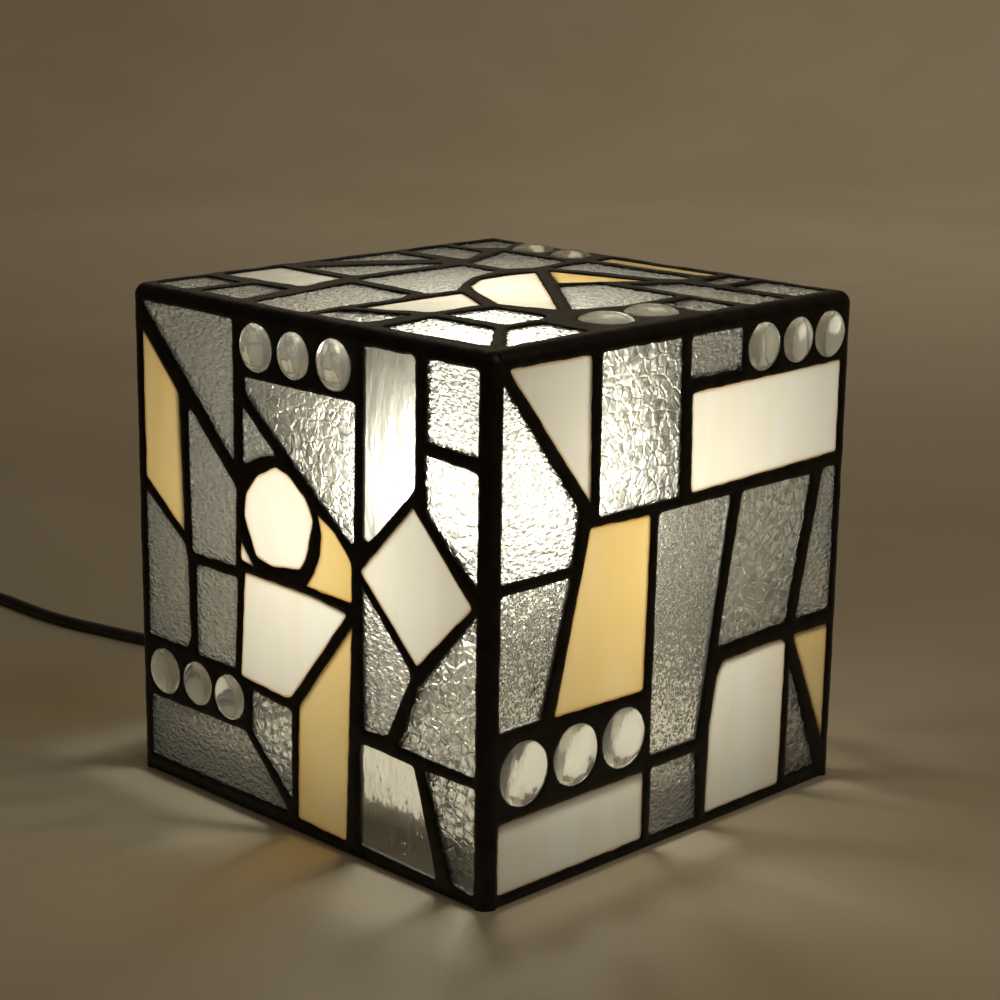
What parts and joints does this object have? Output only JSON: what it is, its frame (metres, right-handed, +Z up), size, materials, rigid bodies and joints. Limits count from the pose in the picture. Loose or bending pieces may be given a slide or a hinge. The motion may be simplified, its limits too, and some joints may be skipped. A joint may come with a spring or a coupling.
{
  "type": "stained glass cube table lamp",
  "caption": "Cube table lamp: soldered art-glass shade that lifts off a base board with lampholder, screw-in bulb, corded rocker switch and two-pin plug.",
  "frame": {"origin": "on the table under the middle of the glass cube", "axes": "+Z up; the seen faces look along -Y and +X; the cord leaves along -X"},
  "size_m": [0.536, 0.2231, 0.1825],
  "materials": {
    "patina_solder": "black patina over hand-run solder",
    "hammered_glass": "clear, hammered on one side",
    "crackle_glass": "clear, crackled on one side",
    "seedy_glass": "clear, with small bubbles",
    "glitter_glass": "clear, with fine glitter grain",
    "opal_glass": "white opal, wispy",
    "champagne_glass": "champagne opal, streaky",
    "nugget_glass": "clear, fire-polished",
    "painted_board": "white paint on plywood",
    "foot_rubber": "moulded",
    "brass": "drawn",
    "holder_plastic": "black thermoset",
    "holder_ceramic": "glazed",
    "clamp_plastic": "moulded",
    "steel": "zinc plated",
    "cord_jacket": "satin round jacket",
    "core_insulation": "brown and blue cores",
    "frosted_bulb": "frosted, lit",
    "bulb_plastic": "moulded",
    "aluminium_board": "white solder mask",
    "nickel": "nickel plated",
    "black_glass": "vitrified insulator",
    "cord_rubber": "moulded sleeve",
    "tie_plastic": "flat tie",
    "switch_plastic": "fine moulded grain",
    "rocker_plastic": "polished",
    "plug_rubber": "overmoulded"
  },
  "bodies": {
    "base": {"base_board": "painted_board", "rubber_feet": "foot_rubber", "threaded_nipple": "brass", "nipple_nuts": "brass", "holder_cap": "holder_plastic", "holder_sleeve": "holder_plastic", "holder_insert": "holder_ceramic", "thread_shell": "brass", "holder_contact": "brass", "cord_clamp": "clamp_plastic", "clamp_screws": "steel", "inner_lead": "cord_jacket", "core_wires": "core_insulation", "strain_relief": "cord_rubber", "cord_run": "cord_jacket", "cord_lead": "cord_jacket", "cord_coil": "cord_jacket", "cord_tail": "cord_jacket", "coil_tie": "tie_plastic", "switch_base": "switch_plastic", "switch_cover": "switch_plastic", "plug_body": "plug_rubber", "plug_pins": "nickel"},
    "shade": {"rim_front_back": "patina_solder", "rim_sides": "patina_solder", "corner_seams": "patina_solder", "top_edge_seams": "patina_solder", "front_seams": "patina_solder", "right_seams": "patina_solder", "back_seams": "patina_solder", "left_seams": "patina_solder", "top_seams": "patina_solder", "front_hammered": "hammered_glass", "front_crackle": "crackle_glass", "front_seedy": "seedy_glass", "front_opal": "opal_glass", "front_champagne": "champagne_glass", "right_hammered": "hammered_glass", "right_crackle": "crackle_glass", "right_glitter": "glitter_glass", "right_opal": "opal_glass", "right_champagne": "champagne_glass", "back_clear": "hammered_glass", "back_opal": "opal_glass", "back_champagne": "champagne_glass", "left_clear": "hammered_glass", "left_opal": "opal_glass", "left_champagne": "champagne_glass", "top_clear": "hammered_glass", "top_crackle": "crackle_glass", "top_opal": "opal_glass", "top_champagne": "champagne_glass", "glass_nuggets": "nugget_glass"},
    "bulb_tip": {"bulb_contact": "nickel"},
    "bulb": {"bulb_globe": "frosted_bulb", "bulb_collar": "bulb_plastic", "bulb_led_board": "aluminium_board", "bulb_cap": "nickel", "bulb_insulator": "black_glass"},
    "rocker": {"switch_rocker": "rocker_plastic"}
  },
  "joints": [
    {"name": "shade_lift", "type": "slide", "parent": "base", "child": "shade", "axis": [0, 0, 1], "range_m": [0, 0.15]},
    {"name": "bulb_rise", "type": "slide", "parent": "base", "child": "bulb_tip", "axis": [0, 0, 1], "range_m": [0, 0.01692]},
    {"name": "bulb_turn", "type": "hinge", "parent": "bulb_tip", "child": "bulb", "pos_m": [0, 0, 0.1], "axis": [0, 0, 1], "range_deg": [0, 2160]},
    {"name": "switch_rock", "type": "hinge", "parent": "base", "child": "rocker", "pos_m": [-0.38, -0.02, 0.0126], "axis": [0, -1, 0], "range_deg": [0, 16]}
  ],
  "couplings": [
    {"joint": "bulb_turn", "follows": "bulb_rise", "rad_per_m": 2228.1}
  ]
}
